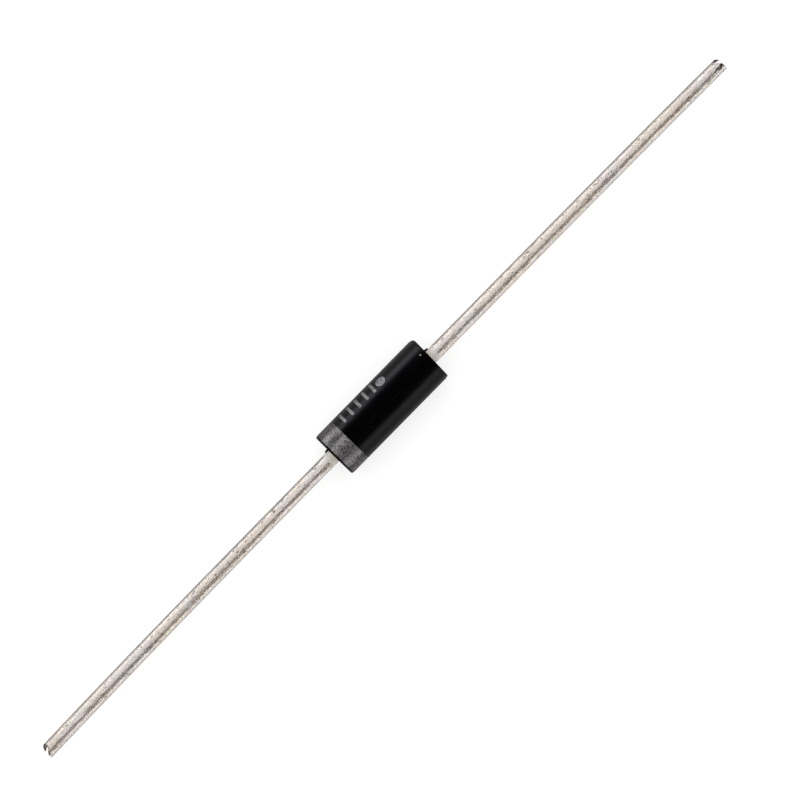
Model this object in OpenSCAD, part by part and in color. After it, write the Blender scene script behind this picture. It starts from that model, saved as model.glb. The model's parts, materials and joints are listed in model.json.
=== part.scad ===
// Axial-lead rectifier diode: a moulded epoxy cylinder on two nail-head wire leads, with a soldered
// silicon junction in a rubber coating inside it, an ink band round its cathode end and ink marks.
// Lengths are in millimetres and angles in degrees. +X runs from the cathode to the anode and +Z is
// up. The part lies on its side on the plane z = 0, with the middle of its body at x = 0.

/* [Body] */
// Length of the moulded body, measured on its axis
body_l = 8.9; // [7:0.1:12]
// Diameter of the moulded body
body_d = 3.3; // [3.1:0.05:6]
// Radius of the edge round the cathode end face
cathode_edge_r = 0.08; // [0.02:0.01:0.2]
// Radius of the edge round the anode end face
anode_edge_r = 0.25; // [0.1:0.01:0.4]
// Slant of the anode end face, from a mould half that closed out of square
anode_slant = 1.9; // [0:0.1:4]

/* [Mould flash] */
// Height of the parting line that the mould leaves along each side of the body
parting_h = 0.02; // [0.01:0.005:0.05]
// Width of the parting line
parting_w = 0.06; // [0.03:0.01:0.12]
// Length of the flash that runs out of the body along each lead
flash_l = 0.26; // [0.1:0.02:0.5]
// How far the flash stands out sideways from the lead
flash_w = 0.07; // [0.04:0.01:0.15]
// Thickness of the flash
flash_t = 0.06; // [0.03:0.01:0.1]

/* [Leads] */
// Diameter of the lead wire over its tin plating
wire_d = 0.98; // [0.6:0.02:1.3]
// Thickness of the plating, which covers the lead outside the moulding
plating_t = 0.01; // [0.004:0.002:0.02]
// Length outside the moulding over which the plating is still thinning out towards bare wire
thin_l = 0.5; // [0.3:0.05:1]
// Length of each lead outside the body
lead_l = 26.7; // [18:0.1:32]
// Straight stretch of each lead outside the body, before its slight bow
straight_l = 8; // [3:0.5:12]
// How far the bow carries the cathode lead sideways
cathode_bow = 0.155; // [0.03:0.005:0.5]
// How far the bow carries the anode lead sideways
anode_bow = 0.085; // [0.03:0.005:0.5]

/* [Lead ends] */
// Length of the straight end that the cutters gripped, after the bow
tip_l = 1.5; // [1:0.1:3]
// How much thinner in diameter the pull of the cutters left that end
tip_draw = 0.01; // [0.005:0.005:0.05]
// Length of the slanted face where the cathode lead was nipped off
nip_l = 0.52; // [0.2:0.02:0.9]
// Thickness of the lip that the nipping left beside that face, at its root
nip_lip_t = 0.19; // [0.12:0.01:0.22]
// Thickness of that lip at its end
nip_lip_end_t = 0.06; // [0.03:0.01:0.12]
// Rake of the lip's end
nip_lip_rake = 0.22; // [0.05:0.01:0.3]
// Length of the rounded-off corner at the far side of the nipped face
nip_corner_l = 0.16; // [0.05:0.01:0.3]
// Length of the nick at the end of the anode lead
nick_l = 0.3; // [0.1:0.02:0.6]
// Width of the nick at the lead's end
nick_w = 0.35; // [0.2:0.01:0.45]
// Thickness of the lip beside the nick
nick_lip_t = 0.22; // [0.1:0.01:0.25]
// Length of the groove that the cutter crushed into the top of the anode lead
crush_l = 0.75; // [0.3:0.05:1.5]
// Radius of that groove at the end of the lead
crush_r = 0.12; // [0.05:0.01:0.2]

/* [Lead heads] */
// Diameter of the nail head that carries the junction
head_d = 1.9; // [1.5:0.05:2.1]
// Thickness of the nail head
head_t = 0.35; // [0.2:0.05:0.5]
// Length of the cone from the nail head down to the wire
neck_l = 0.45; // [0.3:0.05:0.7]
// Height of the bead that locks each lead in the moulding
bead_h = 0.2; // [0.1:0.02:0.3]
// Length of that bead
bead_l = 0.8; // [0.5:0.05:1]
// Distance from the end face of the body to the middle of the bead
bead_depth = 1.1; // [0.8:0.05:1.3]

/* [Junction] */
// Width of the square silicon die
die_w = 1.3; // [0.8:0.05:1.45]
// Thickness of the die
die_t = 0.26; // [0.2:0.01:0.4]
// Thickness of the solder between the die and each nail head
solder_t = 0.06; // [0.03:0.01:0.1]
// Thickness of the rubber coating over the rims of the nail heads
coat_wall = 0.1; // [0.06:0.01:0.15]
// How far the coating laps onto the cone behind each nail head
coat_lap = 0.2; // [0.1:0.01:0.25]

/* [Ink] */
// Thickness of the printed ink
ink_t = 0.02; // [0.01:0.005:0.04]
// Bare strip between the rounded cathode edge and the band
band_gap = 0.05; // [0.02:0.01:0.3]
// Width of the cathode band
band_l = 1.36; // [0.8:0.02:2]
// Distance from the band to the middle of the first mark
mark_gap = 0.62; // [0.4:0.02:1]
// Number of bars in the row of marks
bar_count = 5; // [1:1:6]
// Distance between neighbouring marks
mark_pitch = 0.68; // [0.4:0.02:0.75]
// Width of each bar
bar_w = 0.2; // [0.1:0.01:0.3]
// Height of each bar round the body
bar_h = 1; // [0.5:0.02:1.2]
// Diameter of the dot that ends the row
dot_d = 0.72; // [0.4:0.02:0.9]
// Angle from the top of the body to the foot of the marks
mark_foot = 35; // [10:1:50]

/* [Hidden] */
$fn = 96;
body_r = body_d / 2;
wire_r = wire_d / 2;
bare_r = wire_r - plating_t;
head_r = head_d / 2;
axis_z = body_r + ink_t;                               // the band carries the lying body
slant_rise = body_r * tan(anode_slant);                // how far the slanted face leans out at one side
face_s = body_l / 2;                                   // distance from the junction to an end face
head_s = die_t / 2 + solder_t;                         // ... to the soldered face of a nail head
neck_s = head_s + head_t;                              // ... to the foot of the cone
bead_s = face_s - bead_depth;                          // ... to the middle of the locking bead
plate_s = face_s + thin_l;                             // ... to the start of the full plating
bow_s = face_s + straight_l;                           // ... to the start of the bow
coat_s = neck_s + coat_lap;                            // ... to the end of the coating
bow_run = lead_l - straight_l - tip_l;
tip_r = wire_r - tip_draw / 2;
bead_crest = bead_l / 4;                               // half of the bead's flat crest
coat_rim_r = max(head_d, die_w * sqrt(2)) / 2 + coat_wall;
coat_end_r = neck_r(coat_s) + coat_wall / 2;
band_x = -face_s + cathode_edge_r + band_gap;
band_end = band_x + band_l;
reach = 2 * (body_d + wire_d);                         // longer than any cut needs to be
sliver = 0.05;                                         // overlap of pieces that are joined or cut

// radius of the cone behind a nail head at distance s from the junction
function neck_r(s) =
    s < neck_s ? head_r : max(bare_r, head_r - (head_r - bare_r) * (s - neck_s) / neck_l);

// radius of the circle on which a bow of the given offset lies
function bow_r(bow) = (bow_run * bow_run + bow * bow) / (2 * bow);
function bow_angle(bow) = asin(bow_run / bow_r(bow));

// puts a shape that was drawn along +Z on the diode's axis
module on_axis() { translate([0, 0, axis_z]) children(); }
module along_x() { rotate([0, 90, 0]) children(); }
module to_cathode() { mirror([1, 0, 0]) children(); }

// ---- the leads ----

// nail head, cone, bare wire, locking bead and straight wire of one lead, turned about its axis; the
// plating runs out gradually between its full thickness and the bead
module lead_core() {
    along_x() rotate_extrude() polygon([
        [0, head_s], [head_r, head_s], [head_r, neck_s], [bare_r, neck_s + neck_l],
        [bare_r, bead_s - bead_l / 2], [bare_r + bead_h, bead_s - bead_crest],
        [bare_r + bead_h, bead_s + bead_crest], [bare_r, bead_s + bead_l / 2],
        [wire_r, plate_s], [wire_r, bow_s], [0, bow_s]]);
}

// outer stretch of a lead, which bows slightly towards -Y
module bowed_wire(bow) {
    translate([bow_s, -bow_r(bow), 0]) mirror([1, -1, 0])
        rotate_extrude(angle = bow_angle(bow)) translate([bow_r(bow), 0]) circle(wire_r);
}

// last straight stretch of a lead, with what the cutters took off as its children: they are placed
// at the tip, where their +X runs into the lead and their +Y stays sideways
module cut_tip(bow) {
    translate([bow_s + bow_run, -bow, 0]) rotate([0, 0, -bow_angle(bow)]) difference() {
        translate([-sliver, 0, 0]) along_x() cylinder(h = tip_l + sliver, r = tip_r);
        translate([tip_l, 0, 0]) mirror([1, 0, 0]) children();
    }
}

module upright(points) { linear_extrude(height = reach, center = true) polygon(points); }

// the line from root through mouth, carried on past the wire
function past(root, mouth) = mouth + (mouth - root) * reach / wire_d;

// diagonal cutters left a slanted face and a thin lip standing beside it
module nipped_end() {
    root = [nip_l, wire_r - nip_lip_t];
    mouth = [0, wire_r / 10];
    lip_end = mouth + [0, nip_lip_end_t];
    corner = [0, -wire_r / 2];
    side = wire_r + sliver;
    upright([root, past(root, mouth), past(root, corner)]);
    upright([lip_end, [nip_lip_rake, side], [-reach, side], [-reach, lip_end.y]]);
    upright([corner, [nip_corner_l, -side], [-reach, -side], [-reach, corner.y]]);
}

// a shear left a nick under a thin lip, and crushed a tapering groove into the top
module sheared_end() {
    lip = wire_r - nick_lip_t;
    upright([[nick_l, lip], [-reach, lip], [-reach, lip - nick_w], [0, lip - nick_w]]);
    translate([-sliver, -crush_r, wire_r]) rotate([0, 90, 0])
        cylinder(h = crush_l, r1 = crush_r, r2 = crush_r / 4);
}

module cathode_lead() {
    color("silver") on_axis() to_cathode() {
        lead_core();
        bowed_wire(cathode_bow);
        cut_tip(cathode_bow) nipped_end();
    }
}

module anode_lead() {
    color("silver") on_axis() {
        lead_core();
        bowed_wire(anode_bow);
        cut_tip(anode_bow) sheared_end();
    }
}

// ---- the junction ----

// solder wets the whole nail head side and draws in towards the die
module solder_layer() {
    along_x() translate([0, 0, die_t / 2])
        cylinder(h = solder_t, r1 = die_w / 2, r2 = die_w / 2 + solder_t);
}

module anode_solder() { color("lightgray") on_axis() solder_layer(); }
module cathode_solder() { color("lightgray") on_axis() to_cathode() solder_layer(); }

module die_block() { cube([die_t, die_w, die_w], center = true); }
module silicon_die() { color("dimgray") on_axis() die_block(); }

// outer form of the coating: a barrel whose arc clears the rims of the nail heads and comes down
// onto their cones
module coat_barrel() {
    centre_r = (pow(neck_s, 2) + pow(coat_rim_r, 2) - pow(coat_s, 2) - pow(coat_end_r, 2))
        / (2 * (coat_rim_r - coat_end_r));
    arc_r = norm([neck_s, coat_rim_r - centre_r]);
    along_x() rotate_extrude() intersection() {
        translate([centre_r, 0]) circle(arc_r);
        translate([0, -coat_s]) square([reach, 2 * coat_s]);
    }
}

module junction_coating() {
    color("white") on_axis() difference() {
        coat_barrel();
        lead_core();
        to_cathode() lead_core();
        solder_layer();
        to_cathode() solder_layer();
        die_block();
    }
}

// ---- the moulding ----

// half section of the moulding before its anode face is slanted
module body_section() {
    near = -face_s;
    far = face_s + slant_rise;
    polygon([[0, near], [body_r - cathode_edge_r, near], [body_r, near + cathode_edge_r],
             [body_r, far - anode_edge_r], [body_r - anode_edge_r, far], [0, far]]);
    translate([body_r - cathode_edge_r, near + cathode_edge_r]) circle(cathode_edge_r);
    translate([body_r - anode_edge_r, far - anode_edge_r]) circle(anode_edge_r);
}

// parting line along both sides, from the band to the rounded anode edge
module parting_lines() {
    run = face_s - anode_edge_r - band_end;
    for (side = [-1, 1])
        translate([band_end + run / 2, side * (body_r + parting_h - sliver), 0])
            cube([run, 2 * sliver, parting_w], center = true);
}

// flash that leaked out along one side of a lead, rooted in the end face
module lead_flash() {
    root = slant_rise + sliver;
    translate([face_s - root, 0, -flash_t / 2]) cube([root + flash_l, wire_r + flash_w, flash_t]);
}

module epoxy_body() {
    color("#18181a") on_axis() difference() {
        union() {
            difference() {
                along_x() rotate_extrude() body_section();
                translate([face_s, 0, 0]) rotate([0, 0, -anode_slant])
                    translate([0, -reach, -reach]) cube(2 * reach);
            }
            parting_lines();
            lead_flash();
            to_cathode() lead_flash();
        }
        coat_barrel();
        lead_core();
        to_cathode() lead_core();
    }
}

// ---- the ink ----

// a sleeve of ink on the body, from x0 over length l
module ink_sleeve(x0, l) {
    translate([x0, 0, 0]) along_x() difference() {
        cylinder(h = l, r = body_r + ink_t);
        translate([0, 0, -sliver]) cylinder(h = l + 2 * sliver, r = body_r);
    }
}

module cathode_band() { color("#8a868a") on_axis() ink_sleeve(band_x, band_l); }

// turns a stamp that points up to the place of a mark of height h, its foot at mark_foot
module stamp_at(i, h) {
    rise = 2 * asin(h / (2 * body_r));
    translate([band_end + mark_gap + i * mark_pitch, 0, 0]) rotate([-(mark_foot + rise / 2), 0, 0])
        children();
}

module marking_ink() {
    color("#9a9a9c") on_axis() intersection() {
        ink_sleeve(band_end, face_s - band_end);
        union() {
            for (i = [0:bar_count - 1])
                stamp_at(i, bar_h) translate([-bar_w / 2, -bar_h / 2, 0]) cube([bar_w, bar_h, body_d]);
            stamp_at(bar_count, dot_d) cylinder(h = body_d, d = dot_d);
        }
    }
}

epoxy_body();
cathode_lead();
anode_lead();
cathode_solder();
anode_solder();
silicon_die();
junction_coating();
cathode_band();
marking_ink();
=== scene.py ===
# %% [markdown]
# # Dressing an axial rectifier diode
# An axial diode is a black epoxy cylinder moulded round a silicon chip. A stiff tinned wire leaves
# each end, and a grey ink band tells the cathode end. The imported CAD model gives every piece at
# its real size, but its skins are coarse and bare. In this lesson you load that model as a fixed
# frame, build finer skins over the pieces that show, and give each one a procedural finish.
# Nothing in the frame is moved: a new piece stands in for a CAD node and takes its place exactly.

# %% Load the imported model
import json
import math

import bmesh
import bpy
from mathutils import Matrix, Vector, noise


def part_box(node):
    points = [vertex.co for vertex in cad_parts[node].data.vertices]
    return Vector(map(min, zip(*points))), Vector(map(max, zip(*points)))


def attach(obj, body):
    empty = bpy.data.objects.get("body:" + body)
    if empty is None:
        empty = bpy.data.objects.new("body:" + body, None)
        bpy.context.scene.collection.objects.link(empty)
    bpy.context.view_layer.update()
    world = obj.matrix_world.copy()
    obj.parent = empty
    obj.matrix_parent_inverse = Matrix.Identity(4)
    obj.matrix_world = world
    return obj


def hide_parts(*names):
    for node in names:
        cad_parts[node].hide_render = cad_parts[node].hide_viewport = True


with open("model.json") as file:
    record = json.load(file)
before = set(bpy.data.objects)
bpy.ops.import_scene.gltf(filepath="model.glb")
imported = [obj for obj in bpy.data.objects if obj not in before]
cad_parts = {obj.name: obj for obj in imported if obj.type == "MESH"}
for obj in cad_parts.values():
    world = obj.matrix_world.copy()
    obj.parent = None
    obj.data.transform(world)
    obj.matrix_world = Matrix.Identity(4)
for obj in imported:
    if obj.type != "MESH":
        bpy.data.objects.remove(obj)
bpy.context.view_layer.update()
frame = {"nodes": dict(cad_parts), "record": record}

MM = 0.001
NOISE_SEED = 9
noise.seed_set(NOISE_SEED)                       # noise vectors are seeded by the clock otherwise

# %% [markdown]
# ## Sizes come first
# The frame is the source of truth, so the axis height and the pin sizes are read from it: a mount
# in the record is a measured stretch of straight wire. What a box can't tell, such as the radius
# of a rounded edge, is a named length here. Everything is drawn about the X axis and is
# lifted to the axis height at the end, because turned shapes are easiest to build round an axis.

# %% Read the main sizes from the frame
pins = {mount["name"]: mount for mount in frame["record"]["mounts"]}
anode_pin = pins["anode_lead"]
AXIS_Z = anode_pin["pos_m"][2]
WIRE_R = anode_pin["dims"]["r_mm"] * MM
PIN_L = anode_pin["dims"]["length_mm"] * MM
PLATE_S = anode_pin["pos_m"][0] - PIN_L / 2      # where the tin plating has its full thickness
BOW_S = PLATE_S + PIN_L                          # where the slight bow of each wire starts
BODY_R = 1.65 * MM
FACE_S = 4.45 * MM                               # from the chip to an end face of the body
INK_T = AXIS_Z - BODY_R
band_low, band_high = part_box("cathode_band")
print(f"axis at {AXIS_Z / MM:.2f} mm, wire radius {WIRE_R / MM:.2f} mm, ink {INK_T / MM:.2f} mm thick")

# %% [markdown]
# ## The camera before the looks
# The object is long and thin, so it lies corner to corner in a square frame, seen straight from
# above. A very long lens half a metre away keeps both wires parallel, as in a catalogue picture,
# where a short lens would make the nearer parts swell.

# %% Aim the camera
VIEW_SPAN = 51.6 * MM                            # width of the view at the height of the axis
VIEW_CENTRE = (1.10 * MM, -0.53 * MM)
CAMERA_HEIGHT = 500 * MM
CAMERA_TURN = math.radians(-45.52)
SENSOR = 36.0
camera_data = bpy.data.cameras.new("long_lens")
camera_data.sensor_width = SENSOR
camera_data.lens = SENSOR * CAMERA_HEIGHT / VIEW_SPAN
camera_data.clip_start = CAMERA_HEIGHT / 10
camera_data.clip_end = CAMERA_HEIGHT * 10
camera = bpy.data.objects.new("long_lens", camera_data)
camera.location = (*VIEW_CENTRE, AXIS_Z + CAMERA_HEIGHT)
camera.rotation_euler = (0, 0, CAMERA_TURN)
bpy.context.scene.collection.objects.link(camera)
bpy.context.scene.camera = camera
print(f"lens of {camera_data.lens:.0f} mm at {CAMERA_HEIGHT / MM:.0f} mm")

# %% [markdown]
# ## Writing shader maths as plain expressions
# A procedural material is arithmetic on noise, and wiring Math nodes by hand hides that. A Signal
# wraps one output socket and overloads the operators, so `1 - worn * 0.3` lays down the Math
# nodes for you. The reflected forms matter: Python calls them when the number stands on the left.

# %% A socket that can be added and multiplied
class Signal:
    """One output socket of a material, with arithmetic that adds Math nodes."""

    def __init__(self, surface, socket):
        self.surface = surface
        self.socket = socket

    def math(self, operation, *values):
        return self.surface.node("ShaderNodeMath", {"operation": operation}, dict(enumerate(values)))

    def __add__(self, other):
        return self.math("ADD", self, other)

    def __radd__(self, other):
        return self.math("ADD", other, self)

    def __sub__(self, other):
        return self.math("SUBTRACT", self, other)

    def __rsub__(self, other):
        return self.math("SUBTRACT", other, self)

    def __mul__(self, other):
        return self.math("MULTIPLY", self, other)

    def __rmul__(self, other):
        return self.math("MULTIPLY", other, self)

    def __truediv__(self, other):
        return self.math("DIVIDE", self, other)

    def __rtruediv__(self, other):
        return self.math("DIVIDE", other, self)


# %% [markdown]
# ## One method for every other node
# Everything else a material needs comes from one method: it makes a node of the named type,
# applies its settings, and then feeds its inputs with numbers or other signals. On top of it sit
# a few helpers for the patterns that come back in every finish: a point measured in millimetres
# from the axis, a noise, a soft step and a colour mix.

# %% A material under construction
MIX_FACTOR, MIX_START, MIX_END = 0, 6, 7         # the colour sockets of a Mix node, whose names
MIX_RESULT = 2                                   # also belong to its numbers and vectors


class Surface:
    """A material whose nodes are laid down by calls."""

    def __init__(self, name):
        self.material = bpy.data.materials.new(name)
        self.material.use_nodes = True
        self.tree = self.material.node_tree
        self.shader = self.tree.nodes["Principled BSDF"]

    def feed(self, socket, value):
        """Links a signal to an input socket, or sets a plain value on it."""
        if isinstance(value, Signal):
            self.tree.links.new(value.socket, socket)
        else:
            socket.default_value = value

    def node(self, kind, settings, inputs, output=0):
        """Adds one node: its settings first, then the values or links of its inputs. A colour
        ramp also takes a list of stops, each a position and a colour."""
        made = self.tree.nodes.new(kind)
        for setting, value in settings.items():
            if setting == "stops":
                ramp = made.color_ramp
                while len(ramp.elements) < len(value):
                    ramp.elements.new(1)
                for element, (position, colour) in zip(ramp.elements, value):
                    element.position = position
                    element.color = (*colour, 1)
            else:
                setattr(made, setting, value)
        for key, value in inputs.items():
            self.feed(made.inputs[key], value)
        return Signal(self, made.outputs[output])

    def finish(self, **inputs):
        """Feeds the shader: base_color=... goes to the socket named Base Color, and so on."""
        for name, value in inputs.items():
            label = name.replace("_", " ").title().replace("Ior", "IOR")
            self.feed(self.shader.inputs[label], value)
        print(f"{self.material.name}: {len(self.tree.nodes)} nodes")
        return self.material

    def point(self, stretch=(1, 1, 1)):
        """The surface point in millimetres from the diode's axis, stretched along X, Y and Z."""
        place = self.node("ShaderNodeTexCoord", {}, {}, "Object")
        scale = Vector(stretch) / MM
        lift = Vector((0, 0, -AXIS_Z * scale.z))
        return self.node("ShaderNodeMapping", {}, {"Vector": place, "Scale": scale, "Location": lift})

    def noise(self, vector, size, detail, roughness=0.5):
        """Cloudy noise from 0 to 1 whose blotches are about size millimetres across."""
        return self.node("ShaderNodeTexNoise", {}, {
            "Vector": vector, "Scale": 1 / size, "Detail": detail, "Roughness": roughness}, "Fac")

    def step(self, value, low, high):
        """0 below low, 1 above high, and a soft slope between them."""
        return self.node("ShaderNodeMapRange", {"interpolation_type": "SMOOTHSTEP"}, {
            "Value": value, "From Min": low, "From Max": high})

    def mix(self, factor, first, second):
        """A colour from first to second as factor goes from 0 to 1."""
        start, end = [
            colour if isinstance(colour, Signal) else (*colour, 1) for colour in (first, second)]
        return self.node("ShaderNodeMix", {"data_type": "RGBA"}, {
            MIX_FACTOR: factor, MIX_START: start, MIX_END: end}, MIX_RESULT)

    def bump(self, height, depth):
        """A normal bent by a height from 0 to 1 that stands depth millimetres proud."""
        return self.node("ShaderNodeBump", {}, {"Height": height, "Distance": depth * MM}, "Normal")

    def round_the_axis(self, point):
        """Distance from +Z round the axis, in degrees, growing towards +Y."""
        across = self.node("ShaderNodeSeparateXYZ", {}, {"Vector": point}, "Y")
        up = Signal(self, across.socket.node.outputs["Z"])
        return across.math("ARCTAN2", across, up) * math.degrees(1)


# %% [markdown]
# ## Black epoxy
# The moulding compound is a glass-filled epoxy: nearly black, satin rather than glossy, with the
# faint cloudiness of the mould's spark-eroded wall. The cloudiness goes into the roughness, where
# it breaks up the long highlights, and a fine bump gives the grain. Handling leaves pale specks of
# dust, which are the top of a sharp noise. The body gets one small pit later on, and the finish
# whitens everything that lies close to the middle of the pit: a painted glint.

# %% Epoxy finish
PIT_AT = Vector((4.08, 0.57, 1.56))               # a small pit near the anode edge, from the axis
PIT_R = 0.055                                     # both are in millimetres
PIT_GLINT_REACH = 1.2                                    # how far its pale colour reaches, in radii
PIT_ROUGH = 5                                     # its wall is uneven by its radius over this
DEEP_BLACK = (0.0002, 0.0002, 0.0008)
CLOUDY_BLACK = (0.0010, 0.0009, 0.0018)
DUST = (0.03, 0.03, 0.035)
# the pale grey of the painted glint round the pit
PIT_GLINT_GREY = (0.30, 0.29, 0.29)


def epoxy_finish():
    skin = Surface("satin_black_epoxy")
    place = skin.point()
    clouds = skin.noise(place, 0.9, detail=4)
    grain = skin.noise(place, 0.05, detail=2)
    scuffs = skin.noise(skin.point(stretch=(0.5, 2.5, 2.5)), 0.7, detail=5, roughness=0.65)
    dust = skin.step(skin.noise(place, 0.11, detail=1), 0.70, 0.80)
    rubbed = skin.step(scuffs, 0.55, 0.75)
    far = skin.node("ShaderNodeVectorMath", {"operation": "DISTANCE"}, {0: place, 1: PIT_AT}, "Value")
    # a pale patch round the pit: a painted glint
    pit = 1 - skin.step(far, PIT_R, PIT_R * PIT_GLINT_REACH)
    black = skin.mix(clouds, DEEP_BLACK, CLOUDY_BLACK)
    black = skin.mix(dust * 0.35 + rubbed * 0.06, black, DUST)
    black = skin.mix(pit, black, PIT_GLINT_GREY)
    height = grain * 0.5 + clouds * 2.0
    return skin.finish(
        base_color=black,
        roughness=0.22 + clouds * 0.12 + rubbed * 0.1,
        specular_ior_level=0.22,
        normal=skin.bump(height, 0.003))


epoxy = epoxy_finish()

# %% [markdown]
# ## Printed ink, rubbed thin
# The band is rolled on with grey ink that never covers evenly: it is speckled, cloudy, and rubbed
# through to the black where the diode has rolled about. How thick it lies round the axis is partly
# that wear and partly painted highlight and shade: pale thick ink where the lamps gleam, dark thin
# ink between. The same recipe with another colour and less wear makes the row of marks. Ink
# lies on the epoxy, so the worn spots take the black's own colour instead of turning transparent,
# which keeps the piece a closed solid.

# %% Ink finish
BARE_BLACK = (0.006, 0.0055, 0.006)
# a stripe here is partly worn ink and partly painted highlight and shade
STRIPE_WANDER = 16                                # degrees by which a worn stripe wanders


def ink_finish(name, pale, dark, wear, warm, flake, stripes_and_sheen):
    """stripes_and_sheen lists (degrees from the top towards +Y, how thick the ink lies there). Thick
    ink is made pale and thin ink dark, so the list also paints highlight and shade round the axis.
    """
    ink = Surface(name)
    place = ink.point()
    clouds = ink.noise(place, 1.1, detail=3)
    mottle = ink.noise(place, 0.15, detail=4, roughness=0.7)
    speckle = ink.noise(place, 0.1, detail=1)
    around = ink.round_the_axis(place)
    angle = around + (ink.noise(place, 0.5, detail=3) - 0.5) * STRIPE_WANDER
    stops = [(0.5 + degrees / 360, (thick, thick, thick)) for degrees, thick in stripes_and_sheen]
    # how thick the ink lies round the axis: partly wear, partly painted highlight and shade
    thickness_and_sheen = ink.node("ShaderNodeValToRGB", {"stops": stops}, {"Fac": angle / 360 + 0.5})
    thin = ink.step(mottle * 0.5 + speckle * 0.5 - thickness_and_sheen * wear, 0.40, 0.52)
    # pale where the ink lies thick and dark where it is thin: partly painted highlight and shade
    tone = ink.mix(thickness_and_sheen * 0.75 + mottle * 0.4 - 0.1, dark, pale)
    tone = ink.mix(ink.step(clouds, 0.42, 0.68) * 0.55, tone, warm)
    tone = ink.mix(ink.step(speckle, 0.50, 0.62) * 0.45, tone, BARE_BLACK)
    tone = ink.mix(thin * 0.85, tone, BARE_BLACK)
    height = speckle * 0.6 + mottle - thin
    return ink.finish(
        base_color=tone,
        metallic=(1 - thin) * flake,
        roughness=0.34 + mottle * 0.2,
        normal=ink.bump(height, 0.006))


# the band's ink round the axis: partly wear, and partly painted highlights near 10, 40 and -35 degrees
# with painted shade between
BAND_STRIPES_AND_SHEEN = [
    (-180, 0.5), (-110, 0.7), (-70, 0.5), (-50, 0.0), (-38, 0.8), (-28, 0.6), (-18, 0.25),
    (-5, 0.25), (8, 0.8), (12, 0.9), (17, 0.25), (27, 0.1), (36, 0.85), (43, 0.8), (49, 0.15),
    (68, 0.05), (120, 0.7), (180, 0.5)]
# the marks' ink is thickest, and so palest, at 45 degrees: a painted highlight stripe
MARK_STRIPES_AND_SHEEN = [(30, 0.6), (45, 1.0), (60, 0.6)]
band_ink = ink_finish(
    "rubbed_band_ink", pale=(0.33, 0.32, 0.325), dark=(0.09, 0.08, 0.087), wear=0.17,
    warm=(0.17, 0.14, 0.155), flake=0.6, stripes_and_sheen=BAND_STRIPES_AND_SHEEN)
mark_ink = ink_finish(
    "rubbed_mark_ink", pale=(0.25, 0.25, 0.26), dark=(0.11, 0.11, 0.115), wear=0.12,
    warm=(0.22, 0.21, 0.22), flake=0.4, stripes_and_sheen=MARK_STRIPES_AND_SHEEN)

# %% [markdown]
# ## Hot-dipped tin on wire
# Tinned wire is drawn and then dipped, so it has long faint streaks, a pebbled skin of tiny
# crystals and dark flecks of flux and oxide. Streaks are a noise squeezed across the wire and
# stretched along it. Roughness carries the crystals, and a low bump lets them wobble the
# reflections. Next to the moulding the tin runs out and the wire turns dull.

# %% Tinned wire finish
WARM_TIN = (0.87, 0.79, 0.71)
COOL_TIN = (0.85, 0.79, 0.76)
DRAWN_LINE = (0.58, 0.50, 0.42)
OXIDE = (0.50, 0.43, 0.36)
FLUX = (0.12, 0.08, 0.05)
THIN_TIN = (0.74, 0.70, 0.65)


def wire_finish():
    tin = Surface("dipped_tin")
    place = tin.point()
    drawn = tin.noise(tin.point(stretch=(0.12, 3.2, 3.2)), 0.5, detail=4, roughness=0.6)
    tint = tin.noise(tin.point(stretch=(0.45, 1, 1)), 1.1, detail=2)
    pebbles = tin.noise(tin.point(stretch=(0.6, 1, 1)), 0.17, detail=3, roughness=0.6)
    waves = tin.noise(tin.point(stretch=(0.5, 1, 1)), 0.6, detail=2)
    flecks = tin.step(tin.noise(tin.point(stretch=(0.55, 1, 1)), 0.16, detail=3), 0.62, 0.70)
    grain = tin.step(tin.noise(tin.point(stretch=(0.7, 1, 1)), 0.1, detail=2), 0.5, 0.66)
    along = tin.node("ShaderNodeSeparateXYZ", {}, {"Vector": place}, "X")
    reach = along.math("ABSOLUTE", along)
    plated = PLATE_S / MM
    bare = 1 - tin.step(reach + (pebbles - 0.5) * 0.6, plated - 0.1, plated + 0.15)
    silver = tin.mix(tin.step(tint, 0.40, 0.62), WARM_TIN, COOL_TIN)
    silver = tin.mix(tin.step(drawn, 0.5, 0.8) * 0.5, silver, DRAWN_LINE)
    silver = tin.mix(grain * 0.3, silver, OXIDE)
    silver = tin.mix(flecks * 0.75, silver, FLUX)
    silver = tin.mix(bare * (0.4 + pebbles * 0.8), silver, THIN_TIN)
    height = pebbles * 2.4 + drawn * 1.2 + waves * 4.0 - flecks * 0.8 - grain * 0.4
    return tin.finish(
        base_color=silver,
        metallic=0.94 - bare * 0.5,
        roughness=0.17 + pebbles * 0.2 + bare * 0.3 + flecks * 0.2,
        specular_tint=(0.25, 0.24, 0.23, 1),
        normal=tin.bump(height, 0.015))


tin = wire_finish()

# %% Finish of the sheared ends
TORN_DARK = (0.12, 0.10, 0.09)
TORN_PALE = (0.78, 0.71, 0.65)


def cut_finish():
    """Sheared metal at the wire's end: torn, dull and a little brown."""
    torn = Surface("sheared_metal")
    ridges = torn.noise(torn.point(stretch=(3, 1, 0.4)), 0.2, detail=4)
    grain = torn.noise(torn.point(), 0.1, detail=3)
    tone = torn.mix(torn.step(grain, 0.46, 0.62), TORN_DARK, TORN_PALE)
    return torn.finish(
        base_color=tone,
        metallic=1.0,
        roughness=0.3 + ridges * 0.25,
        normal=torn.bump(ridges * 2 + grain, 0.02))


cut = cut_finish()

# %% [markdown]
# ## What is sealed inside
# Four pieces never see the light: the chip, its two solder joints and the rubber that coats them.
# Their CAD nodes have the right shape, so they stay, and each only gets a finish by assigning a
# material to its slot. Anyone who cuts the model open then finds real stuff inside.

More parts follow.
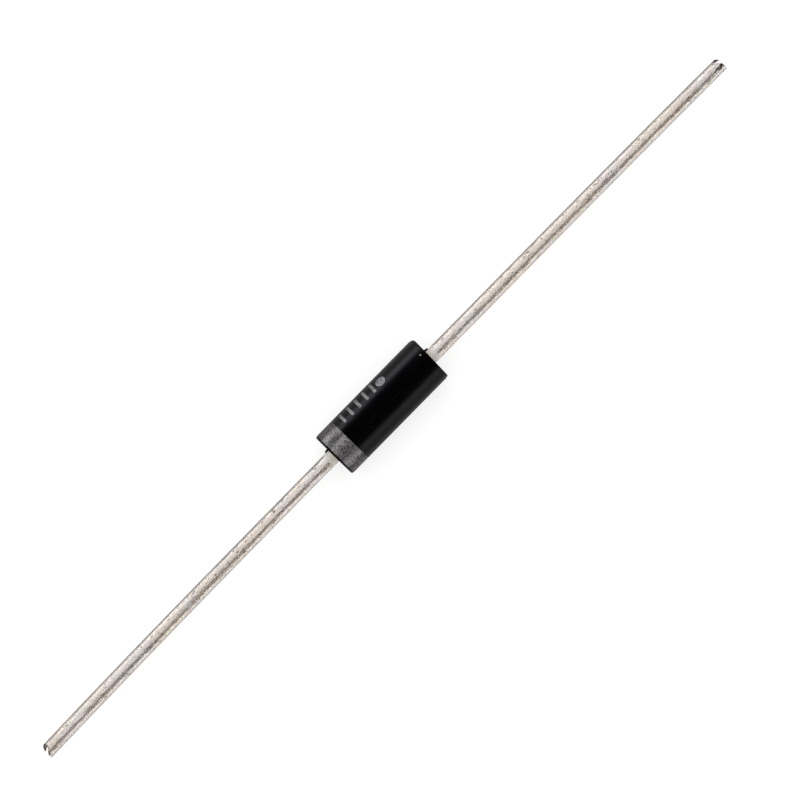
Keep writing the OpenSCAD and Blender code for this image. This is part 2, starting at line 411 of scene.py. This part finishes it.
# %% Finishes of the inner pieces
def solder_finish():
    solder = Surface("dull_solder")
    crystals = solder.node(
        "ShaderNodeTexVoronoi", {}, {"Vector": solder.point(), "Scale": 6.0}, "Distance")
    tone = solder.mix(crystals, (0.42, 0.42, 0.43), (0.62, 0.62, 0.63))
    return solder.finish(base_color=tone, metallic=1.0, roughness=0.35 + crystals * 0.2)


def silicon_finish():
    chip = Surface("etched_silicon")
    etch = chip.noise(chip.point(), 0.15, detail=3)
    tone = chip.mix(etch, (0.09, 0.09, 0.11), (0.15, 0.15, 0.18))
    return chip.finish(
        base_color=tone, metallic=0.6, roughness=0.12 + etch * 0.15, normal=chip.bump(etch, 0.004))


def rubber_finish():
    rubber = Surface("white_rubber")
    cloud = rubber.noise(rubber.point(), 0.4, detail=3)
    tone = rubber.mix(cloud, (0.78, 0.78, 0.75), (0.88, 0.88, 0.86))
    return rubber.finish(base_color=tone, roughness=0.55 + cloud * 0.2, normal=rubber.bump(cloud, 0.02))


def coat_node(name, material):
    """Gives a CAD node its finish, and leaves its mesh and place alone."""
    node = frame["nodes"][name]
    if not node.material_slots:
        node.data.materials.append(material)
    for slot in node.material_slots:
        slot.material = material
    print(f"{name} wears {material.name}")


solder = solder_finish()
for joint in ("cathode_solder", "anode_solder"):
    coat_node(joint, solder)
coat_node("silicon_die", silicon_finish())
coat_node("junction_coating", rubber_finish())

# %% [markdown]
# ## Turning on a lathe
# The body and the wires are turned shapes, and bmesh has a lathe: spin. You draw half of the
# section as a chain of points, each a distance along the axis and a radius, and sweep the chain
# once round. The full spin uses use_merge, so the last copy closes on the first. Rounded
# corners are bevelled on the flat chain, which costs one call instead of a ring of edges.

# %% Helpers for turned pieces
FULL_TURN = 2 * math.pi
CREASE = math.radians(32)
WELD = 0.0005 * MM                                # points this close are the same point


def outline(points, closed):
    """A bmesh with a chain of edges through (along, radius) points, in metres."""
    bm = bmesh.new()
    chain = [bm.verts.new((along, 0, radius)) for along, radius in points]
    for start, end in zip(chain, chain[1:]):
        bm.edges.new((start, end))
    if closed:
        bm.edges.new((chain[-1], chain[0]))
    bm.verts.ensure_lookup_table()
    return bm


def round_corner(bm, corner, radius, segments):
    """Rounds one corner of a chain or an outline."""
    bmesh.ops.bevel(
        bm, geom=[corner], offset=radius, offset_type="OFFSET", affect="VERTICES",
        segments=segments, profile=0.5, material=-1)


def turn(bm, steps):
    """Sweeps the chain once round the X axis and closes the skin."""
    bmesh.ops.spin(
        bm, geom=bm.verts[:] + bm.edges[:], axis=(1, 0, 0), cent=(0, 0, 0),
        steps=steps, angle=FULL_TURN, use_merge=True)
    bmesh.ops.remove_doubles(bm, verts=bm.verts, dist=WELD)
    bmesh.ops.recalc_face_normals(bm, faces=bm.faces)


# %% Helpers that make a piece of a bmesh
def open_edges(bm):
    return [edge for edge in bm.edges if edge.is_boundary]


def mesh_object(bm, name, materials):
    """Puts a bmesh into the scene as an object with a slot for each material."""
    mesh = bpy.data.meshes.new(name)
    bm.to_mesh(mesh)
    bm.free()
    for material in materials:
        mesh.materials.append(material)
    made = bpy.data.objects.new(name, mesh)
    bpy.context.scene.collection.objects.link(made)
    return made


def make_piece(bm, name, materials, slot, *nodes):
    """Lifts a bmesh to the axis height and makes it a piece that stands for CAD nodes."""
    bmesh.ops.translate(bm, verts=bm.verts, vec=(0, 0, AXIS_Z))
    for face in bm.faces:
        face.smooth = True
    for edge in bm.edges:
        edge.smooth = edge.calc_face_angle(0) < CREASE
    holes = len(open_edges(bm))
    piece = mesh_object(bm, name, materials)
    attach(piece, "root")
    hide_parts(*nodes)
    print(f"{name}: {len(piece.data.polygons)} faces, {holes} open edges")
    return piece


# %% [markdown]
# ## Adding and cutting solids
# Some shapes are simpler as a cut than as a chain of edges: a nipped wire end is a wire with a
# wedge taken out. The exact Boolean modifier does that. It is used here on two scratch objects
# whose result comes back as a bmesh, so that no live modifier stays on the finished piece. The
# cutter's material travels with the cut, which paints the sheared faces for free. Where two cuts
# cross, the result has points that nearly touch, so they are merged at once.

# %% A helper for joined and cut solids
MERGE = 0.001 * MM                                # a cut can leave points closer than this


def combine(base, tool, operation, base_materials, tool_materials):
    """Joins or cuts two closed bmeshes and returns the result as a new one."""
    base_object = mesh_object(base, "scratch", base_materials)
    tool_object = mesh_object(tool, "scratch", tool_materials)
    cutter = base_object.modifiers.new("combine", "BOOLEAN")
    cutter.object = tool_object
    cutter.operation = operation
    cutter.solver = "EXACT"
    cutter.material_mode = "TRANSFER"
    result = bmesh.new()
    result.from_object(base_object, bpy.context.evaluated_depsgraph_get())
    if not result.faces:
        print("the solver found no result, so the piece stays as it was")
        result.from_mesh(base_object.data)
    bmesh.ops.remove_doubles(result, verts=result.verts, dist=MERGE)
    for scratch in (base_object, tool_object):
        mesh = scratch.data
        bpy.data.objects.remove(scratch)
        bpy.data.meshes.remove(mesh)
    return result


# %% [markdown]
# ## The form of a lead inside the body
# Before the moulding can be hollowed, you need what it grips. Each wire is upset into a nail head
# that takes the chip, tapers back to wire, and carries a bead that stops it pulling out. The two
# leads and the hollow of the moulding are drawn from this one list, so they always fit.

# %% The gripped stretch of a lead
BARE_R = WIRE_R - 0.01 * MM                       # the wire without its tin
HEAD_S = 0.19 * MM                                # from the middle of the chip to the soldered face
HEAD_R = 0.95 * MM
NECK_S = HEAD_S + 0.35 * MM
NECK_END = NECK_S + 0.45 * MM
BEAD_S = FACE_S - 1.1 * MM
BEAD_HALF = 0.4 * MM
BEAD_R = BARE_R + 0.2 * MM
COAT_S = NECK_S + 0.2 * MM                        # end of the rubber on the neck
COAT_RIM = HEAD_R + 0.1 * MM
bead_chain = [
    (BEAD_S - BEAD_HALF, BARE_R), (BEAD_S - BEAD_HALF / 2, BEAD_R),
    (BEAD_S + BEAD_HALF / 2, BEAD_R), (BEAD_S + BEAD_HALF, BARE_R)]
neck_slope = (HEAD_R - BARE_R) / (NECK_END - NECK_S)
coat_neck_r = HEAD_R - neck_slope * (COAT_S - NECK_S)
coat_end_r = coat_neck_r + 0.05 * MM
mouth_r = BARE_R + (WIRE_R - BARE_R) * (FACE_S - BEAD_S - BEAD_HALF) / (PLATE_S - BEAD_S - BEAD_HALF)
print(f"the wire leaves the body with a radius of {mouth_r / MM:.3f} mm")

# %% [markdown]
# ## The moulded body
# The body is one turned shell whose bore follows the leads and the rubber. The mould leaves a
# crisp edge at the cathode and a soft one at the anode, and closed a little out of square, so the
# anode face slants: a plane cuts the turned shape, and the two open rims are bridged. Last come
# the thin fins where resin leaked between the mould halves, one along each side and a tick beside
# each wire, and a small pit. They are made with Booleans, so that the moulding stays one solid.

# %% Turn and slant the body
CATHODE_EDGE_R = 0.08 * MM
ANODE_EDGE_R = 0.25 * MM
SLANT = math.radians(1.9)
BODY_STEPS = 128


def coat_arc(steps):
    """Points over the rubber's barrel from the anode side to the cathode side."""
    centre = (NECK_S**2 + COAT_RIM**2 - COAT_S**2 - coat_end_r**2) / (2 * (COAT_RIM - coat_end_r))
    radius = math.hypot(NECK_S, COAT_RIM - centre)
    swing = math.asin(COAT_S / radius)
    angles = [swing * (1 - 2 * i / steps) for i in range(steps + 1)]
    return [(radius * math.sin(a), centre + radius * math.cos(a)) for a in angles]


def bore_chain():
    """The hollow of the moulding, from the anode mouth to the cathode mouth."""
    anode_side = bead_chain[::-1] + [(NECK_END, BARE_R), (COAT_S, coat_neck_r)]
    cathode_side = [(-along, radius) for along, radius in anode_side[::-1]]
    return anode_side + coat_arc(12) + cathode_side


def turned_body():
    far = FACE_S + BODY_R * math.tan(SLANT)
    bm = outline(
        [(-FACE_S, mouth_r), (-FACE_S, BODY_R), (far, BODY_R), (far, mouth_r)] + bore_chain(), True)
    cathode_corner, anode_corner = bm.verts[1], bm.verts[2]
    round_corner(bm, cathode_corner, CATHODE_EDGE_R, 4)
    round_corner(bm, anode_corner, ANODE_EDGE_R, 8)
    turn(bm, BODY_STEPS)
    bmesh.ops.bisect_plane(
        bm, geom=bm.verts[:] + bm.edges[:] + bm.faces[:], dist=0.0001 * MM,
        plane_co=(FACE_S, 0, 0), plane_no=(math.cos(SLANT), -math.sin(SLANT), 0), clear_outer=True)
    rim = open_edges(bm)
    bmesh.ops.bridge_loops(bm, edges=rim)
    bmesh.ops.recalc_face_normals(bm, faces=bm.faces)
    return bm


body_mesh = turned_body()
print("body volume in mm3:", round(body_mesh.calc_volume() / MM**3, 2))

# %% Add the fins of the mould
FIN_T = 0.06 * MM
FIN_RISE = 0.02 * MM
SEAM_SOFT = FIN_T / 6
TICK_SOFT = FIN_T / 5
TICK_L = 0.26 * MM
TICK_W = 0.15 * MM
TICK_THINS = 0.5                                  # share of its thickness lost at its tip
TICK_NARROWS = 0.35                               # share of its width lost at its tip
TICK_IN = 0.9                                     # its inner side lies at this share of the mouth
ROOT = 0.05 * MM                                  # how deep a fin is rooted in the body


def block(low, high, soften):
    """A box between two corners, with its edges softened."""
    bm = bmesh.new()
    size = Vector(high) - Vector(low)
    bmesh.ops.create_cube(bm, size=1)
    bmesh.ops.scale(bm, verts=bm.verts, vec=size)
    bmesh.ops.translate(bm, verts=bm.verts, vec=(Vector(high) + Vector(low)) / 2)
    bmesh.ops.bevel(
        bm, geom=bm.edges[:], offset=soften, offset_type="OFFSET", affect="EDGES",
        segments=2, profile=0.5, material=-1)
    return bm


def tick(end):
    """The torn flash beside one wire. end is -1 at the cathode and 1 at the anode."""
    root = FACE_S - 2 * ROOT
    bm = block(
        (root, TICK_IN * mouth_r, -FIN_T / 2), (FACE_S + TICK_L, WIRE_R + TICK_W, FIN_T / 2),
        TICK_SOFT)
    for vert in bm.verts:
        out = max(0, (vert.co.x - FACE_S) / TICK_L)
        vert.co.z *= 1 - TICK_THINS * out
        vert.co.y -= TICK_W * TICK_NARROWS * out * (vert.co.y > WIRE_R)
    bmesh.ops.scale(bm, verts=bm.verts, vec=(end, 1, 1))
    bmesh.ops.recalc_face_normals(bm, faces=bm.faces)
    return bm


for side in (-1, 1):
    inner, outer = sorted((side * (BODY_R - ROOT), side * (BODY_R + FIN_RISE)))
    seam = block(
        (band_high.x, inner, -FIN_T / 2), (FACE_S - ANODE_EDGE_R, outer, FIN_T / 2), SEAM_SOFT)
    body_mesh = combine(body_mesh, seam, "UNION", [epoxy], [epoxy])
    body_mesh = combine(body_mesh, tick(side), "UNION", [epoxy], [epoxy])
print("faces of the body with its fins:", len(body_mesh.faces))

# %% Chip the small pit and finish the body
pit = bmesh.new()
bmesh.ops.create_icosphere(pit, subdivisions=2, radius=PIT_R * MM)
for vert in pit.verts:
    vert.co += noise.noise_vector(vert.co / (PIT_R * MM)) * PIT_R * MM / PIT_ROUGH
bmesh.ops.translate(pit, verts=pit.verts, vec=PIT_AT * MM)
body_mesh = combine(body_mesh, pit, "DIFFERENCE", [epoxy], [epoxy])
body = make_piece(body_mesh, "moulded_body", [epoxy], "epoxy", "epoxy_body")

# %% [markdown]
# ## The cathode band
# The band is a sleeve of ink a fiftieth of a millimetre thick. It is turned like the body, with
# more steps, and then its two rims are pushed about a little, because a rubber roller never ends
# its stripe on a perfect circle. The push only goes inwards, so the band keeps to its place.

# %% Turn the band
BAND_STEPS = 240
BAND_EDGE_R = 0.6 * INK_T
RIM_WANDER = 0.03 * MM
WANDER_SPAN = 0.35 * MM                           # length of one wave of the rims
RIMS_APART = 9                                    # lets the two rims wander differently


def band_sleeve():
    middle = (band_low.x + band_high.x) / 2
    bm = outline([
        (band_low.x, BODY_R), (band_low.x, BODY_R + INK_T),
        (middle, BODY_R + INK_T),
        (band_high.x, BODY_R + INK_T), (band_high.x, BODY_R)], True)
    for corner in (bm.verts[1], bm.verts[3]):
        round_corner(bm, corner, BAND_EDGE_R, 3)
    turn(bm, BAND_STEPS)
    for vert in bm.verts:
        side = 1 if vert.co.x > middle else -1
        if abs(vert.co.x - middle) > RIM_WANDER:
            sample = Vector((side * RIMS_APART, vert.co.y, vert.co.z)) / WANDER_SPAN
            wander = noise.noise(sample)
            vert.co.x -= side * RIM_WANDER * (0.5 + 0.5 * wander)
    return bm


make_piece(band_sleeve(), "ink_band", [band_ink], "band_ink", "cathode_band")

# %% [markdown]
# ## The row of marks
# Ink marks are flat shapes wrapped round the body. Each one is made flat first, from a grid or a
# disc with enough cuts to bend, is given its thickness, and is then rolled on: the height on the
# sheet becomes an angle round the body. Real print has soft corners and a slightly unsteady edge.

# %% Flat marks
BAR_W, BAR_H = 0.2 * MM, 1.0 * MM
BAR_EDGE_R = 0.05 * MM
DOT_R = 0.36 * MM
DOT_RINGS = 6
DOT_STEPS = 40


def flat_bar():
    bm = bmesh.new()
    bmesh.ops.create_grid(bm, x_segments=2, y_segments=14, size=0.5)
    bmesh.ops.scale(bm, verts=bm.verts, vec=(BAR_W, BAR_H, 1))
    corners = [vert for vert in bm.verts if len(vert.link_faces) == 1]
    bmesh.ops.bevel(
        bm, geom=corners, offset=BAR_EDGE_R, offset_type="OFFSET", affect="VERTICES",
        segments=3, profile=0.5, material=-1)
    return bm


def flat_dot():
    bm = outline([(DOT_R * i / DOT_RINGS, 0) for i in range(DOT_RINGS + 1)], False)
    bmesh.ops.spin(
        bm, geom=bm.verts[:] + bm.edges[:], axis=(0, 0, 1), cent=(0, 0, 0),
        steps=DOT_STEPS, angle=FULL_TURN, use_merge=True)
    bmesh.ops.remove_doubles(bm, verts=bm.verts, dist=WELD)
    return bm


print(f"bars of {BAR_W / MM:.2f} by {BAR_H / MM:.2f} mm and a dot of {2 * DOT_R / MM:.2f} mm")

# %% Roll the marks onto the body
MARK_FOOT = math.radians(35)                      # from the top of the body to the foot of a mark
MARK_PITCH = 0.68 * MM
FIRST_MARK = band_high.x + 0.62 * MM
BAR_COUNT = 5
INK_WAVER = 0.02 * MM                             # how far the edges of a mark waver
WAVER_SPAN = 0.13 * MM


def rolled_on(bm, along, height):
    """Gives a flat mark its thickness and rolls it onto the body."""
    top = bmesh.ops.extrude_face_region(bm, geom=bm.faces[:])["geom"]
    raised = [item for item in top if isinstance(item, bmesh.types.BMVert)]
    bmesh.ops.translate(bm, verts=raised, vec=(0, 0, INK_T))
    middle = MARK_FOOT + height / 2 / BODY_R
    for vert in bm.verts:
        waver = noise.noise_vector((vert.co + Vector((along, 0, 0))) / WAVER_SPAN) * INK_WAVER
        x, y, z = vert.co
        angle = middle + (y + waver.y) / BODY_R
        radius = BODY_R + z
        vert.co = (along + x + waver.x, radius * math.sin(angle), radius * math.cos(angle))
    bmesh.ops.recalc_face_normals(bm, faces=bm.faces)
    return bm


def add_to(bm, other):
    """Moves the mesh of one bmesh into another."""
    carrier = bpy.data.meshes.new("carrier")
    other.to_mesh(carrier)
    other.free()
    bm.from_mesh(carrier)
    bpy.data.meshes.remove(carrier)


marks_mesh = bmesh.new()
for i in range(BAR_COUNT):
    add_to(marks_mesh, rolled_on(flat_bar(), FIRST_MARK + i * MARK_PITCH, BAR_H))
add_to(marks_mesh, rolled_on(flat_dot(), FIRST_MARK + BAR_COUNT * MARK_PITCH, 2 * DOT_R))
make_piece(marks_mesh, "ink_marks", [mark_ink], "mark_ink", "marking_ink")

# %% [markdown]
# ## The leads
# Each lead is one long turned piece: nail head, neck, bead and wire. The wire is cut into many
# short rings, because a wire that has been on a reel and in a drawer is never quite straight, and
# the rings let it bow and carry small dents. The cutters' marks come before the bow, while the
# wire is still straight and its end is easy to find.

# %% Turn a straight lead
WIRE_STEPS = 48
RING_GAP = 0.4 * MM
TIP_FINER = 2                                     # the rings stand closer at the tip
HEAD_EDGE_R = 0.04 * MM
TIP_L = 1.5 * MM
TIP_R = WIRE_R - 0.005 * MM
LEAD_END = FACE_S + 26.7 * MM


def straight_lead():
    chain = [(HEAD_S, 0), (HEAD_S, HEAD_R), (NECK_S, HEAD_R), (NECK_END, BARE_R)] + bead_chain
    rings = round((LEAD_END - TIP_L - PLATE_S) / RING_GAP)
    gap = (LEAD_END - TIP_L - PLATE_S) / rings
    chain += [(PLATE_S + i * gap, WIRE_R) for i in range(rings)]
    tip_rings = round(TIP_L / RING_GAP * TIP_FINER)
    chain += [(LEAD_END - TIP_L * (1 - i / tip_rings), TIP_R) for i in range(tip_rings + 1)]
    chain += [(LEAD_END, 0)]
    bm = outline(chain, False)
    for rim in (bm.verts[1], bm.verts[2]):
        round_corner(bm, rim, HEAD_EDGE_R, 3)
    turn(bm, WIRE_STEPS)
    return bm


print(f"each lead is {(LEAD_END - FACE_S) / MM:.1f} mm long outside the body")

# %% [markdown]
# ## The cutters' marks
# The cathode wire was nipped: the jaws left a notch with a lip standing beside it, and a face
# that slants in four strips of different lean. The anode wire was sheared: a nick under a thin
# curled lip, and a row of six teeth marks that a jaw crushed into the top. Each cut is a flat
# outline drawn from the wire's end, with X running into the wire, and pushed through it with a
# lean, so a list of corner points is all that a new cut needs.

# %% Cutters for the cathode wire
THROUGH = 2 * MM                                  # longer than any cut needs to be
SIDE = WIRE_R + ROOT                              # just beside the wire


def prism(points, lean):
    """A cutter with a flat outline, drawn from the wire's end, that goes through it. Its lean
    lets the cut creep back as it rises from the wire's underside, so its face looks up."""
    bm = bmesh.new()
    face = bm.faces.new([bm.verts.new((LEAD_END - x, y, -THROUGH)) for x, y in points])
    top = bmesh.ops.extrude_face_region(bm, geom=[face])["geom"]
    raised = [item for item in top if isinstance(item, bmesh.types.BMVert)]
    bmesh.ops.translate(bm, verts=raised, vec=(0, 0, 2 * THROUGH))
    for vert in bm.verts:
        vert.co.x -= lean * (vert.co.z + WIRE_R)
    bmesh.ops.recalc_face_normals(bm, faces=bm.faces)
    return bm


def past(root, mouth):
    """The point where the line from root through mouth has left the wire."""
    return tuple(m + (m - r) * 3 for r, m in zip(root, mouth))


def strip(start, end, lean):
    """A cutter that leaves one strip of the end face, from start to end, and takes the rest."""
    return prism([start, end, (-THROUGH, end[1]), (-THROUGH, start[1])], lean)


def nip_cutters():
    """The notch of the cathode wire, and the four strips of its end face."""
    root = (0.4 * MM, 0.25 * MM)
    mouth = (0, 0.06 * MM)
    corner = (-0.04 * MM, -0.25 * MM)
    plate, inner, outer = 0.17 * MM, -0.02 * MM, -0.3 * MM
    worn = 0.06 * MM                              # how far the two outer strips slope back
    return [
        prism([root, past(root, mouth), past(root, corner)], lean=0.05),
        strip((0, plate), (worn, SIDE), lean=0.5),
        strip((0, inner), (0, plate), lean=0.26),
        strip((0.05 * MM, inner), (-0.02 * MM, outer), lean=0.27),
        strip((0, outer), (worn, -SIDE), lean=0.06)]


nips = nip_cutters()
print("cuts at the end of the cathode wire:", len(nips))

# %% Cutters for the anode wire
BITES = 6                                         # marks of the jaw's teeth
BITE_R = 0.15 * MM
BITE_GAP = 0.15 * MM
BITE_AT = -0.12 * MM                              # beside the top of the wire
BITE_FADE = 0.08                                  # each next mark is smaller by this share


def shear_cutters():
    """The nick of the anode wire, the slanted tip of its lip, and the marks of the teeth."""
    lip = WIRE_R - 0.18 * MM
    shelf = lip - 0.33 * MM
    nick = 0.24 * MM
    tip = -0.14 * MM
    cutters = [
        prism([(nick, lip), (-THROUGH, lip), (-THROUGH, shelf), (0, shelf)], lean=0.06),
        prism([(tip, SIDE), (-THROUGH, SIDE), (-THROUGH, lip), (tip, lip)], lean=0.7)]
    for bite in range(BITES):
        tooth = bmesh.new()
        bmesh.ops.create_icosphere(tooth, subdivisions=2, radius=BITE_R * (1 - BITE_FADE * bite))
        shake = noise.noise_vector(Vector((bite, 0.5, 0.5))) * BITE_R / 2
        place = Vector((LEAD_END - bite * BITE_GAP, BITE_AT, WIRE_R)) + shake
        bmesh.ops.translate(tooth, verts=tooth.verts, vec=place)
        cutters.append(tooth)
    return cutters


shears = shear_cutters()
print("cuts at the end of the anode wire:", len(shears))

# %% [markdown]
# ## From a clean cut to a real wire
# A jaw doesn't leave a clean plane: the metal tears, so the cut faces are divided into small
# triangles and a little noise pushes their points about. The thin lip of the anode wire is rolled
# in over its nick. Last the whole wire gets its dents and its bow, which carry the cut end along.
# All of this moves points of the real mesh, so it also shows in the outline.

# %% Tear the cut faces and curl the lip
TEAR_GRAIN = 0.09 * MM
TEAR_DEPTH = 0.012 * MM
CURL_L = 0.3 * MM                                 # length of the anode's lip that curled in
CURL_FROM = 0.2 * MM                              # only what lies beyond this side curls
CURL = 0.09 * MM


def is_torn(item):
    """True for an edge or a point that touches a sheared face."""
    return any(face.material_index == 1 for face in item.link_faces)


def tear(bm):
    """Cuts the sheared faces finely and pushes their points about."""
    for _ in range(3):
        sheared = [face for face in bm.faces if face.material_index == 1]
        bmesh.ops.triangulate(bm, faces=sheared, quad_method="SHORT_EDGE")
        long_edges = [edge for edge in bm.edges if is_torn(edge) and edge.calc_length() > TEAR_GRAIN]
        bmesh.ops.subdivide_edges(bm, edges=long_edges, cuts=1)
    bmesh.ops.triangulate(bm, faces=[face for face in bm.faces if len(face.verts) > 4])
    for vert in bm.verts:
        if is_torn(vert):
            vert.co += noise.noise_vector(vert.co / TEAR_GRAIN) * TEAR_DEPTH
            vert.co.x = min(vert.co.x, LEAD_END)
    bmesh.ops.dissolve_degenerate(bm, dist=MERGE, edges=bm.edges)


def curl_lip(bm):
    """Rolls the tip of the thin lip in over the nick."""
    for vert in bm.verts:
        reach = (vert.co.x - LEAD_END) / CURL_L + 1
        if reach > 0 and vert.co.y > CURL_FROM:
            vert.co.y -= CURL * reach ** 2
            vert.co.z += CURL / 2 * reach ** 2


print(f"torn {TEAR_DEPTH / MM:.3f} mm deep, and a lip of {CURL_L / MM:.1f} mm curls in")

# %% Bow the wires and finish the leads
DENT_DEPTH = 0.004 * MM
DENT_SPAN = 1.7 * MM
DENT_START = 2 * MM                               # the dents grow over this stretch of the wire
CATHODE_BOW = 0.155 * MM
ANODE_BOW = 0.085 * MM


def bowed(bm, bow):
    """Bends the wire sideways past BOW_S, with small dents along the free length."""
    run = LEAD_END - TIP_L - BOW_S
    for vert in bm.verts:
        past_start = max(0, vert.co.x - BOW_S)
        bent = min(past_start, run)
        dent = noise.noise_vector(Vector((vert.co.x, bow, 0)) / DENT_SPAN) * DENT_DEPTH
        share = min(1, max(0, vert.co.x - PLATE_S) / DENT_START)
        vert.co.y += dent.y * share - bow * (bent / run) ** 2 - 2 * bow / run * (past_start - bent)
        vert.co.z += dent.z * share


def build_lead(name, node, end, bow, cutters):
    """One finished lead. end is -1 for the cathode and 1 for the anode."""
    bm = straight_lead()
    for cutter in cutters:
        bm = combine(bm, cutter, "DIFFERENCE", [tin, cut], [cut])
    tear(bm)
    if end > 0:
        curl_lip(bm)
    bowed(bm, bow)
    bmesh.ops.scale(bm, verts=bm.verts, vec=(end, 1, 1))
    bmesh.ops.recalc_face_normals(bm, faces=bm.faces)
    return make_piece(bm, name, [tin, cut], "tinned_wire", node)


cathode_wire = build_lead("cathode_wire", "cathode_lead", -1, CATHODE_BOW, nips)
anode_wire = build_lead("anode_wire", "anode_lead", 1, ANODE_BOW, shears)

# %% [markdown]
# ## A plain pale floor
# The diode lies on a plain sheet that glows a little, like the frosted top of a light table. The
# glow softens the shadow that the diode casts. The floor is far larger than the diode, so that no
# other view finds its edge.

# %% Lay the floor
FLOOR_SIZE = 6.0                                  # in metres
FLOOR_GREY = 0.32
FLOOR_GLOW = 0.66


def floor_finish():
    sheet = Surface("pale_sheet")
    return sheet.finish(
        base_color=(FLOOR_GREY, FLOOR_GREY, FLOOR_GREY, 1), roughness=0.8, specular_ior_level=0.1,
        emission_color=(1, 1, 1, 1), emission_strength=FLOOR_GLOW)


floor_mesh = bmesh.new()
bmesh.ops.create_grid(floor_mesh, x_segments=1, y_segments=1, size=FLOOR_SIZE / 2)
floor = mesh_object(floor_mesh, "floor", [floor_finish()])
print(f"floor of {FLOOR_SIZE:.0f} by {FLOOR_SIZE:.0f} m")

# %% [markdown]
# ## Lighting a shiny cylinder
# A cylinder is a curved mirror: each strip of it shows one direction of the room, so you light it
# by deciding what stands in each direction. The wires want light nearly everywhere, with one brown
# card overhead that draws a dark streak along them. The black body wants the opposite: two low
# boxes that draw its edges, and nothing above. A studio sets dark flags between the lamps and
# the body for that, and light linking does it here: each lamp names the pieces that it lights.

# %% Choose who gets which light
def lit_group(name, members, others=True):
    """A collection for light linking: only its members, or all pieces but its members."""
    group = bpy.data.collections.new(name)
    for member in members:
        group.objects.link(member)
    for link in group.collection_objects:
        link.light_linking.link_state = "EXCLUDE" if others else "INCLUDE"
    return group


body_only = lit_group("body_only", [body], others=False)
wires_only = lit_group("wires_only", [cathode_wire, anode_wire], others=False)
floor_only = lit_group("floor_only", [floor], others=False)
all_but_body = lit_group("all_but_body", [body])
floor.light_linking.receiver_collection = floor_only      # its glow is only for the camera
print("light groups:", [group.name for group in bpy.data.collections])

# %% Set the soft boxes
LIGHT_AWAY = 260 * MM
BOX_LENGTH = 420 * MM
WHITE = (1, 1, 1)
BROWN = (1.0, 0.7, 0.45)
BLUISH = (0.93, 0.93, 1.0)
ROSY = (1.0, 0.95, 0.98)


def soft_box(name, place, turn, size, radiance, lights, tint=WHITE):
    """A long lamp that shines straight down, or turned about the X axis by turn."""
    lamp = bpy.data.lights.new(name, "AREA")
    lamp.shape = "RECTANGLE"
    lamp.size, lamp.size_y = size
    lamp.energy = radiance * math.pi * size[0] * size[1]
    lamp.color = tint
    box = bpy.data.objects.new(name, lamp)
    box.location = place
    box.rotation_euler = (turn, 0, 0)
    box.visible_camera = False
    box.light_linking.receiver_collection = lights
    bpy.context.scene.collection.objects.link(box)
    print(f"{name}: {size[1] / MM:.0f} mm wide, {lamp.energy:.3f} W")


def sky_box(name, start, end, radiance, lights, tint=WHITE):
    """A soft box that fills the directions from start to end, in degrees from straight up
    towards +Y."""
    middle = math.radians((start + end) / 2)
    width = 2 * LIGHT_AWAY * math.tan(math.radians(end - start) / 2)
    place = (0, LIGHT_AWAY * math.sin(middle), AXIS_Z + LIGHT_AWAY * math.cos(middle))
    soft_box(name, place, -middle, (BOX_LENGTH, width), radiance, lights, tint)


# name, from and to in degrees, radiance, and the pieces that get the light
sky_box("bright_low_left", 68, 86, 2.0, all_but_body)
sky_box("bright_high_left", -13, 68, 0.79, all_but_body)
sky_box("brown_card", -60, -13, 0.08, all_but_body, BROWN)
sky_box("bright_high_right", -73, -60, 0.9, all_but_body)
sky_box("bright_low_right", -89, -73, 1.5, all_but_body)
sky_box("black_left", 62, 88, 2.6, body_only, BLUISH)
sky_box("black_right", -88, -60, 1.1, body_only, ROSY)

STRIP_WIDTH = 6 * MM                              # a pale strip laid on the floor beside the wires
STRIP_FROM = -0.8 * MM
STRIP_RISE = 0.05 * MM
STRIP_LENGTH = 2.2 * LEAD_END
STRIP_RADIANCE = 0.5
soft_box(
    "floor_strip", (0, STRIP_FROM - STRIP_WIDTH / 2, STRIP_RISE), math.pi,
    (STRIP_LENGTH, STRIP_WIDTH), STRIP_RADIANCE, wires_only)

# %% [markdown]
# ## Light from everywhere
# The rest of the room is a pale, even light. It brightens the floor and the inks, but it is kept
# out of the reflections, where it would turn the black body grey.

# %% Fill the room
ROOM_GREY = 0.95
world = bpy.data.worlds.new("pale_room")
world.use_nodes = True
backdrop = world.node_tree.nodes["Background"]
backdrop.inputs["Color"].default_value = (ROOM_GREY, ROOM_GREY, ROOM_GREY, 1)
bpy.context.scene.world = world
world.cycles_visibility.glossy = False
bpy.context.scene.view_settings.view_transform = "Standard"
print("the room's light leaves out the reflections:", not world.cycles_visibility.glossy)
